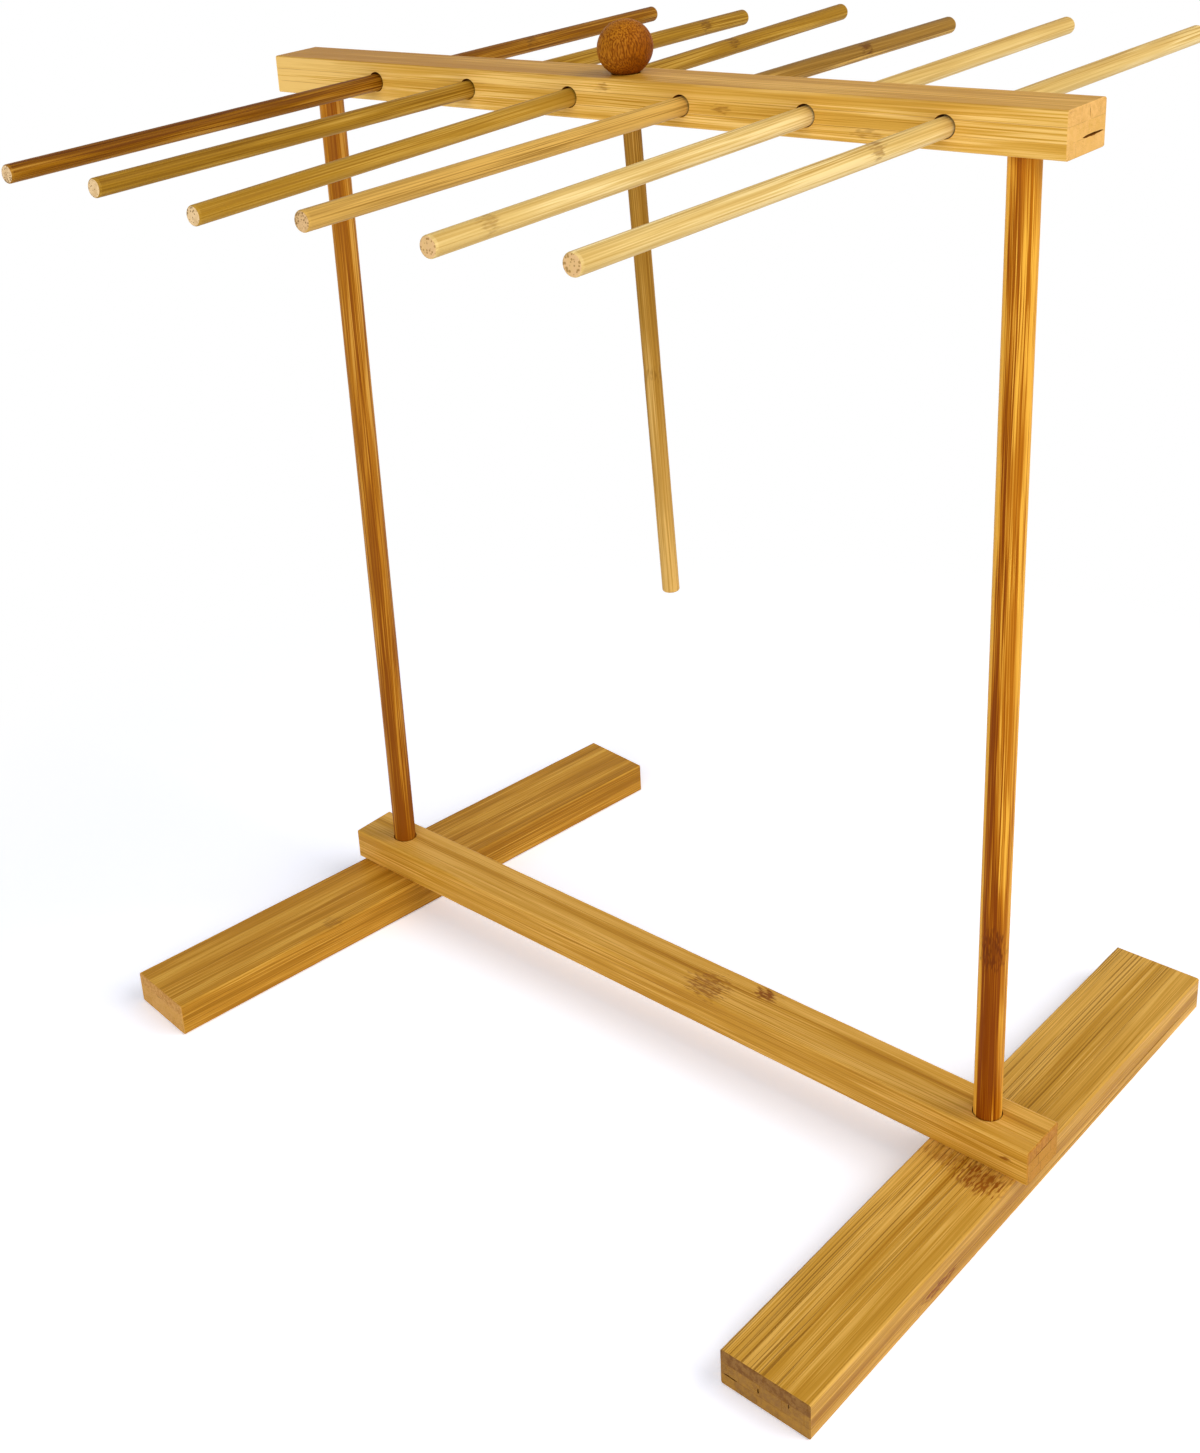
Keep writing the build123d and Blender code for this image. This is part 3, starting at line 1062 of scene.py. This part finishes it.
@dataclass
class Base:
    """The two feet and the beam that lies across them."""

    post_spacing: float = POST_SPACING
    foot_length: float = 345.0
    foot_width: float = 43.0
    foot_thickness: float = 18.0
    left_foot_turn_degrees: float = -6.3
    beam_length: float = 428.0
    beam_width: float = 27.0
    beam_thickness: float = 17.98
    beam_gap: float = 0.02
    socket_radius: float = 6.33
    socket_depth: float = 14.0
    beam_hole_radius: float = 6.6

    def _foot(self, side: int, finish: Bamboo, gaps: tuple[GlueGap, ...]) -> Board:
        """Makes one foot, -1 the left and 1 the right, turned on its post."""
        name = "foot_left" if side < 0 else "foot_right"
        turn = math.radians(self.left_foot_turn_degrees if side < 0 else 0.0)
        top = self.foot_thickness / 2
        place = placed(
            (side * self.post_spacing / 2, 0.0, top),
            (-math.sin(turn), math.cos(turn), 0.0),
            (-math.cos(turn), -math.sin(turn), 0.0),
        )
        socket = Drilling((0.0, 0.0, top), (0.0, 0.0, top - self.socket_depth), self.socket_radius, False)
        return Board(
            name, name, self.foot_length, self.foot_width, self.foot_thickness,
            place, finish, (socket,), gaps, seed=side + 5,
        )

    def _beam(self, finish: Bamboo, gaps: tuple[GlueGap, ...]) -> Board:
        """Makes the beam, drilled over both sockets, a hair above the feet so that they turn clear of it."""
        half = self.beam_thickness / 2
        middle = self.foot_thickness + self.beam_gap + half
        place = placed((0.0, 0.0, middle), (1.0, 0.0, 0.0), (0.0, 1.0, 0.0))
        holes = tuple(
            Drilling((x, 0.0, half), (x, 0.0, -half), self.beam_hole_radius, ease=0.12)
            for x in (-self.post_spacing / 2, self.post_spacing / 2)
        )
        return Board(
            "base_beam", "frame", self.beam_length, self.beam_width, self.beam_thickness,
            place, finish, holes, gaps, seed=9,
        )

    def build(self, effects: Effects) -> None:
        """Builds the base."""
        left = Bamboo(
            "left_foot",
            Palette("#a16b0d", "#c68d28", "#dfab46", "#85560e", "#7a470c", "#d8a55c", "#bf843c"),
            seed=3.0,
            grooves=0.2,
            strip_width=10.6,
            strip_offset=3.0,
            grain_contrast=0.85,
            across=(
                (-21.5, 0.32),
                (-17.0, 0.42),
                (-13.5, 0.72),
                (-10.5, 0.44),
                (-3.0, 0.36),
                (0.0, 0.28),
                (2.0, 0.62),
                (8.0, 0.68),
                (16.0, 0.46),
                (21.5, 0.4),
            ),
            end_seam=0.12,
            middle_ply=-0.2,
            fades=(Fade(0.3, -1.0, 0.1),),
            half_length=172.0,
            nodes=(CulmNode((-68.0, -18.0, 9.0), (5.0, 6.0, 3.0), 0.4),),
        )
        right = Bamboo(
            "right_foot",
            Palette("#a66f12", "#c6922f", "#e8b658", "#7c4d06", "#8c4a06", "#8f6735", "#744a21"),
            seed=8.0,
            strip_width=10.4,
            strip_offset=9.9,
            grain_contrast=0.72,
            strip_contrast=0.1,
            across=(
                (-21.5, 0.54),
                (-19.8, 0.7),
                (-18.6, 0.5),
                (-12.0, 0.64),
                (-4.0, 0.6),
                (0.8, 0.52),
                (1.8, 0.38),
                (3.4, 0.72),
                (12.0, 0.86),
                (21.5, 0.84),
            ),
            open_grain=((-21.5, 0.35), (-6.0, 0.5), (2.0, 0.6), (4.0, 0.8), (12.0, 0.9), (18.0, 0.85), (21.5, 0.6)),
            end_seam=0.45,
            middle_ply=-0.34,
            fades=(Fade(0.3, -1.0, -0.08), Fade(0.3, 0.9, 0.1)),
            half_length=172.0,
            nodes=(
                CulmNode((-22.0, -9.5, 9.0), (9.0, 13.0, 3.0), 0.9),
                CulmNode((-19.5, 9.0, 9.0), (5.0, 12.0, 3.0), 0.45),
                CulmNode((-77.8, -21.5, -3.0), (16.0, 3.5, 2.8), 1.0),
            ),
        )
        beam = Bamboo(
            "beam",
            Palette("#aa7218", "#cc9632", "#e6b358", "#8c5a0f", "#8a4e0a", "#c78a32", "#b77526", "#6e3e10"),
            seed=14.0,
            grooves=0.24,
            strip_width=11.0,
            strip_offset=6.0,
            grain_contrast=0.9,
            across=((-13.5, 0.51), (-12.5, 0.68), (-4.0, 0.7), (0.0, 0.6), (3.0, 0.32), (5.5, 0.62), (13.5, 0.68)),
            middle_ply=-0.16,
            fades=(Fade(0.3, -1.0, 0.12),),
            half_length=214.0,
            end_seam=0.7,
            nodes=(
                CulmNode((35.0, -4.0, 9.0), (12.5, 10.5, 3.0), 0.75),
                CulmNode((62.5, 8.5, 9.0), (7.0, 5.0, 3.0), 1.0),
                CulmNode((202.9, -13.5, 0.0), (3.5, 2.0, 1.8), 0.85),
            ),
        )
        end = -self.foot_length / 2
        self._foot(-1, left, (GlueGap((end, 2.0, 2.9), 5.0, 0.35, 1.4, False, 3),)).build(effects)
        self._foot(
            1,
            right,
            (
                GlueGap((end, 16.5, -2.8), 7.0, 1.0, 1.6, False, 4),
                GlueGap((end, 3.0, -0.4), 3.0, 0.9, 1.5, True, 5),
                GlueGap((end, -11.5, 1.8), 2.4, 0.7, 1.2, True, 6),
            ),
        ).build(effects)
        self._beam(beam, (GlueGap((self.beam_length / 2, 0.5, 3.0), 21.0, 0.6, 1.6, False, 7),)).build(effects)


@dataclass
class Uprights:
    """The two posts that stand in the feet and carry the top bar."""

    spacing: float = POST_SPACING
    length: float = 480.0
    radius: float = 6.25
    foot_height: float = 4.0

    def _post(self, side: int, finish: Bamboo) -> Dowel:
        """Makes one post, -1 the left and 1 the right."""
        name = "post_left" if side < 0 else "post_right"
        middle = (side * self.spacing / 2, 0.0, self.foot_height + self.length / 2)
        place = placed(middle, (0.0, 0.0, 1.0), (1.0, 0.0, 0.0))
        return Dowel(name, "frame", self.length, self.radius, place, finish, Slot.POST, end_round=0.8, seed=side + 20)

    def build(self, effects: Effects) -> None:
        """Builds both posts."""
        left = Bamboo(
            "left_post",
            Palette("#8a4a06", "#bc7a1a", "#e0a646", "#66360a", "#643408", "#a8743a", "#8d5a20"),
            seed=31.0,
            grooves=0.2,
            sheen=0.08,
            grain_contrast=0.95,
            fades=(Fade(0.3, -1.0, -0.3),),
            across=((-180.0, 0.55), (-110.0, 0.6), (-80.0, 0.3), (-40.0, 0.4), (-10.0, 0.62), (40.0, 0.5), (180.0, 0.55)),
            half_length=240.0,
        )
        right = Bamboo(
            "right_post",
            Palette("#843e02", "#b86e0c", "#f2b440", "#4e1e02", "#6a2f05", "#a8743a", "#8d5a20"),
            seed=36.0,
            grooves=0.46,
            sheen=0.06,
            grain_contrast=1.1,
            # Round the post: the tones above 1, from -180 to -120 degrees and at 180, are painted light along its
            # left edge.
            across=(
                (-180.0, 1.4),
                (-120.0, 1.3),
                (-110.0, 0.48),
                (-96.0, 0.28),
                (-84.0, 0.3),
                (-68.0, 0.44),
                (-44.0, 0.57),
                (-20.0, 0.86),
                (0.0, 0.95),
                (20.0, 1.0),
                (70.0, 0.6),
                (180.0, 1.5),
            ),
            fades=(Fade(0.0, -0.45, -0.2),),
            half_length=240.0,
            nodes=(CulmNode((-117.5, 3.0, -5.5), (11.0, 6.0, 5.0), 0.85),),
        )
        self._post(-1, left).build(effects)
        self._post(1, right).build(effects)


@dataclass
class DryingRods:
    """The top bar and the six loose rods in it."""

    bar_length: float = 420.0
    bar_width: float = 28.0
    bar_thickness: float = 18.0
    bar_underside: float = 472.0
    post_spacing: float = POST_SPACING
    socket_radius: float = 6.3
    socket_depth: float = 12.0
    rod_places: tuple[float, ...] = (-138.0, -78.0, -18.0, 42.0, 102.0, 162.0)
    rod_length: float = 420.0
    rod_radius: float = 4.0
    rod_slide: float = -13.0
    hole_radius: float = 4.5
    seat_drop: float = 0.3
    slack: float = 0.6
    tip_shares: tuple[float, ...] = (0.0, 0.0, 1.0, 0.0, 0.4, 0.0)
    wand_place: float = 3.0
    wand_hole_radius: float = 6.0

    def _bar(self, finish: Bamboo, gaps: tuple[GlueGap, ...]) -> Board:
        """Makes the top bar with its rod holes, wand hole and post sockets."""
        half_y, half_z = self.bar_width / 2, self.bar_thickness / 2
        place = placed((0.0, 0.0, self.bar_underside + half_z), (1.0, 0.0, 0.0), (0.0, 1.0, 0.0))
        holes = [Drilling((x, -half_y, 0.0), (x, half_y, 0.0), self.hole_radius, ease=0.15) for x in self.rod_places]
        holes.append(Drilling((self.wand_place, 0.0, half_z), (self.wand_place, 0.0, -half_z), self.wand_hole_radius))
        for side in (-1, 1):
            x = side * self.post_spacing / 2
            holes.append(
                Drilling((x, 0.0, -half_z), (x, 0.0, self.socket_depth - half_z), self.socket_radius, False, 0.1)
            )
        return Board(
            "top_bar", "frame", self.bar_length, self.bar_width, self.bar_thickness,
            place, finish, tuple(holes), gaps, seed=12,
        )

    def _rod(self, number: int, finish: Bamboo) -> Dowel:
        """Makes one rod, number 1 at the left, lying on the front rim of its hole."""
        tip = math.atan2(self.tip_shares[number - 1] * self.slack, self.bar_width)
        height = self.bar_underside + self.bar_thickness / 2
        front = Vector((self.rod_places[number - 1], -self.bar_width / 2, height))
        along = Vector((0.0, math.cos(tip), math.sin(tip)))
        middle = front - Vector((0.0, 0.0, self.seat_drop)) + along * (self.bar_width / 2 + self.rod_slide)
        place = placed(middle, along, (-1.0, 0.0, 0.0))
        name, body = f"drying_rod_{number}", f"rod_{number}"
        return Dowel(name, body, self.rod_length, self.rod_radius, place, finish, Slot.ROD, seed=40 + number)

    def _stick(
        self, number: int, palette: Palette, grooves: float, node_at: float, mark: float, front_tone: float = 0.0
    ) -> Bamboo:
        """Makes the finish of one rod, with painted light that makes it a little paler underneath than on top.

        Args:
            number: The rod's number.
            palette: Its colours.
            grooves: How open its grain is.
            node_at: Where its culm node lies, in millimetres towards the back from its middle.
            mark: How strongly the node shows.
            front_tone: What its front half's tone adds to its back half's.

        Returns:
            The finish.
        """
        return Bamboo(
            f"rod_{number}",
            palette,
            seed=50.0 + number,
            grooves=grooves,
            sheen=0.06,
            grain_contrast=1.0,
            end_dots=0.7,
            bundle_spacing=1.05,
            # Round the rod: painted light and shade, paler underneath and darker on top.
            across=((-180.0, 0.56), (-135.0, 0.66), (-90.0, 0.6), (0.0, 0.45), (90.0, 0.36), (140.0, 0.46), (180.0, 0.56)),
            fades=(Fade(0.4, 0.0, front_tone),),
            nodes=(CulmNode((node_at, -2.0, 2.0), (4.5, 5.0, 4.0), mark),),
        )

    def build(self, effects: Effects) -> None:
        """Builds the bar and its rods."""
        bar = Bamboo(
            "top_bar",
            Palette("#b57f1f", "#dba846", "#f7cc76", "#8a5810", "#8f5a16", "#eebc70", "#e2ae60", "#8c5018"),
            seed=22.0,
            grooves=0.18,
            strip_width=14.0,
            strip_offset=4.6,
            sheen=0.05,
            grain_contrast=0.85,
            across=((-14.0, 0.62), (-13.0, 0.44), (-6.0, 0.46), (4.0, 0.38), (12.0, 0.44), (14.0, 0.5)),
            end_seam=0.2,
            end_dots=0.12,
            middle_ply=-0.22,
            # The two fades above 8.4 mm darken only the top face, more towards the left end: painted shade.
            fades=(Fade(-0.45, -0.95, 0.42), Fade(1.0, -0.7, -0.24, 8.4), Fade(-0.45, -0.95, -0.62, 8.4)),
            nodes=(
                CulmNode((0.8, -14.0, 5.1), (5.0, 3.0, 2.0), 0.5),
                CulmNode((62.7, -14.0, 0.0), (5.0, 3.0, 2.0), 0.55),
                CulmNode((129.7, -14.0, -5.0), (7.0, 3.0, 1.8), 0.4),
            ),
        )
        end = self.bar_length / 2
        gaps = (
            GlueGap((end, 4.5, -2.6), 16.0, 1.3, 1.8, False, 11),
            GlueGap((end, 1.6, 5.6), 4.6, 0.3, 1.0, True, 12),
        )
        self._bar(bar, gaps).build(effects)
        brown = Palette("#643300", "#976208", "#b88530", "#4c2a04", "#5c340c", "#f2d3a2", "#8d5a20")
        olive = Palette("#80570c", "#a57a20", "#c0963c", "#5e3e08", "#6d4510", "#f2d3a2", "#8d5a20")
        honey = Palette("#74500f", "#9a722c", "#d6aa55", "#6e4a10", "#6a4210", "#e6c08c", "#8d5a20")
        straw = Palette("#b98f40", "#dcbb70", "#f2d898", "#967030", "#8f6222", "#e0b784", "#8d5a20")
        sticks = (
            self._stick(1, brown, 0.4, 107.0, 0.5, -0.06),
            self._stick(2, olive, 0.34, 174.0, 0.7),
            self._stick(3, olive, 0.3, 115.0, 0.7, 0.2),
            self._stick(4, honey, 0.26, 133.0, 1.0, 0.4),
            self._stick(5, straw, 0.12, -184.0, 0.45),
            self._stick(6, straw, 0.12, -49.6, 0.6),
        )
        for number, finish in enumerate(sticks, start=1):
            self._rod(number, finish).build(effects)


@dataclass
class Wand:
    """The transfer wand that hangs by its ball in the top bar."""

    place_x: float = 3.0
    ball_height: float = 500.69
    lean_degrees: float = 3.2826
    ball_radius: float = 11.98
    bore_radius: float = 4.03
    bore_depth: float = 14.0
    rod_radius: float = 4.0
    rod_length: float = 253.0

    def build(self, effects: Effects) -> None:
        """Builds the ball and the rod glued into it."""
        lean = math.radians(self.lean_degrees)
        up = Vector((-math.sin(lean), 0.0, math.cos(lean)))
        centre = Vector((self.place_x, 0.0, self.ball_height))
        middle = centre + up * (self.bore_depth - self.ball_radius - self.rod_length / 2)
        stick = Bamboo(
            "wand",
            Palette("#82560e", "#b38432", "#deb262", "#66440e", "#6d4510", "#c09050", "#8d5a20"),
            seed=61.0,
            grooves=0.3,
            sheen=0.06,
            grain_contrast=0.8,
            fades=(Fade(0.3, -1.0, 0.4),),
            half_length=126.0,
            nodes=(CulmNode((-20.0, 0.0, 0.0), (4.5, 5.0, 5.0), 0.5),),
        )
        place = placed(middle, up)
        rod = Dowel("wand_rod", "wand", self.rod_length, self.rod_radius, place, stick, Slot.ROD, seed=60)
        rod.build(effects)
        place, knob = placed(centre, up), TurnedKnob()
        ball = Knob("wand_ball", "wand", self.ball_radius, self.bore_radius, self.bore_depth, place, knob)
        ball.build(effects)


# The studio


@dataclass(frozen=True)
class Lamp:
    """A soft box: its place and aim in metres, its width, power and tint."""

    name: str
    place: Point
    width: float
    watts: float
    colour: str = "#ffffff"
    aim: Point = (0.0, 0.0, 0.22)

    def build(self) -> None:
        """Hangs the lamp."""
        light = bpy.data.lights.new(self.name, "AREA")
        light.shape = "SQUARE"
        light.size = self.width
        light.energy = self.watts
        light.color = linear(self.colour)[:3]
        lamp = bpy.data.objects.new(self.name, light)
        lamp.location = self.place
        lamp.rotation_mode = "QUATERNION"
        lamp.rotation_quaternion = (Vector(self.aim) - Vector(self.place)).to_track_quat("-Z", "Y")
        bpy.context.scene.collection.objects.link(lamp)


@dataclass
class Studio:
    """A white sweep, soft boxes and the camera of the photograph."""

    camera_place: Point = (0.51328, -0.62349, 0.62402)
    camera_turn_degrees: Point = (67.9098, 5.0006, 45.3621)
    lens: float = 45.85
    shift: tuple[float, float] = (0.13765, -0.15244)
    floor_radius: float = 4.0
    sensor_width: float = 36.0
    floor_drop: float = 0.0003
    floor_sides: int = 96
    floor_tint: str = "#f6f5f8"
    floor_white: Colour = (1.13, 1.18, 1.31, 1.0)
    floor_lift: float = 0.2
    fade_radii: tuple[float, float] = (0.36, 0.6)
    ambient: float = 0.32
    ambient_tint: str = "#f3f2f7"
    lamps: tuple[Lamp, ...] = (
        Lamp("key", (2.0, 0.9, 2.2), 2.3, 56.0, "#fffaf2"),
        Lamp("fill", (0.95, -2.7, 1.3), 2.8, 58.0),
    )

    def _camera(self) -> None:
        """Sets the camera."""
        data = bpy.data.cameras.new("camera")
        data.lens = self.lens
        data.sensor_width = self.sensor_width
        data.shift_x, data.shift_y = self.shift
        data.clip_start, data.clip_end = 0.01, 50.0
        camera = bpy.data.objects.new("camera", data)
        camera.location = self.camera_place
        camera.rotation_euler = [math.radians(angle) for angle in self.camera_turn_degrees]
        bpy.context.scene.collection.objects.link(camera)
        bpy.context.scene.camera = camera

    @staticmethod
    def _seen(bench: Bench) -> NodeSocket:
        """Gives 1 to rays from the camera, mirrors and glass, and 0 to the light on the rack."""
        path = bench.add("ShaderNodeLightPath").outputs
        seen = bench.math("MAXIMUM", path["Is Camera Ray"], path["Is Glossy Ray"])
        return bench.math("MAXIMUM", seen, path["Is Transmission Ray"])

    def _world(self) -> None:
        """Lights the rack evenly from all round, with white behind it."""
        world = bpy.data.worlds.new("studio")
        bench = Bench(cleared(world))
        soft = bench.add("ShaderNodeBackground", {"Color": linear(self.ambient_tint), "Strength": self.ambient})
        white = bench.add("ShaderNodeBackground", {"Color": WHITE, "Strength": 1.0})
        mixed = bench.add("ShaderNodeMixShader", {0: self._seen(bench), 1: soft.outputs[0], 2: white.outputs[0]})
        bench.add("ShaderNodeOutputWorld", {"Surface": mixed.outputs[0]})
        bpy.context.scene.world = world

    def _floor(self) -> None:
        """Lays a pale floor that keeps the rack's shadow and fades to white around it."""
        material = bpy.data.materials.new("pale_floor")
        bench = Bench(cleared(material))
        place = bench.add("ShaderNodeTexCoord").outputs["Object"]
        fade = bench.between(bench.vector("LENGTH", place, output=1), *self.fade_radii)
        lit = bench.add("ShaderNodeBsdfDiffuse", {"Color": linear(self.floor_tint)})
        paper = bench.add("ShaderNodeBsdfDiffuse", {"Color": self.floor_white})
        lift = bench.add("ShaderNodeEmission", {"Color": WHITE, "Strength": self.floor_lift})
        near = bench.add("ShaderNodeAddShader", {0: paper.outputs[0], 1: lift.outputs[0]})
        white = bench.add("ShaderNodeEmission", {"Color": WHITE, "Strength": 1.0})
        shown = bench.add("ShaderNodeMixShader", {0: fade, 1: near.outputs[0], 2: white.outputs[0]})
        mixed = bench.add("ShaderNodeMixShader", {0: self._seen(bench), 1: lit.outputs[0], 2: shown.outputs[0]})
        bench.add("ShaderNodeOutputMaterial", {"Surface": mixed.outputs[0]})
        mesh = bpy.data.meshes.new("floor")
        rim = circle(self.floor_radius, -self.floor_drop, self.floor_sides, upright=True).points
        mesh.from_pydata(rim, [], [list(range(len(rim)))])
        mesh.materials.append(material)
        floor = bpy.data.objects.new("floor", mesh)
        bpy.context.scene.collection.objects.link(floor)

    def build(self) -> None:
        """Sets the camera, lamps, world and floor."""
        self._camera()
        self._world()
        self._floor()
        for lamp in self.lamps:
            lamp.build()
        bpy.context.scene.view_settings.view_transform = "Standard"


def main() -> None:
    """Builds the studio and the rack."""
    logging.basicConfig(level=logging.INFO, format="%(message)s")
    Studio().build()
    effects = Effects()
    for part in (Base(), Uprights(), DryingRods(), Wand()):
        part.build(effects)
        log.info("built the %s", type(part).__name__)


if __name__ == "__main__":
    main()
